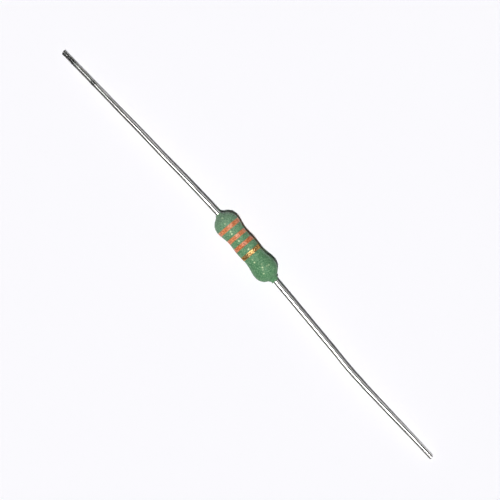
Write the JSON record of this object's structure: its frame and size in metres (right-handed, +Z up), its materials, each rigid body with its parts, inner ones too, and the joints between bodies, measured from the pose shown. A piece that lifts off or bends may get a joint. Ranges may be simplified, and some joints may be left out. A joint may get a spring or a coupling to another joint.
{
  "type": "axial resistor",
  "caption": "Axial film resistor lying flat: lacquered dog-bone body with colour bands over a capped ceramic core, with slightly bent tinned wire leads.",
  "frame": {"origin": "on the surface the part lies on, at the middle of the part's outline seen from above (bottom centre of its bounding box); the body's own middle is 0.77 mm toward -X and 0.14 mm toward +Y of it, 1.5 mm up", "axes": "+X along the body from lead A (the digit bands' end) to lead B (the gold band's end), +Z up from the surface"},
  "size_m": [0.0638, 0.0032, 0.003],
  "materials": {
    "ceramic": "matte",
    "film": "satin",
    "cap_steel": "satin",
    "tinned_wire": "polished",
    "green_lacquer": "satin",
    "orange_ink": "satin",
    "gold_ink": "satin"
  },
  "bodies": {
    "root": {"ceramic_rod": "ceramic", "resistive_film": "film", "end_cap_a": "cap_steel", "end_cap_b": "cap_steel", "lead_a": "tinned_wire", "lead_b": "tinned_wire", "lacquer_coating": "green_lacquer", "band_first_digit": "orange_ink", "band_second_digit": "orange_ink", "band_multiplier": "orange_ink", "band_tolerance": "gold_ink"}
  },
  "joints": []
}
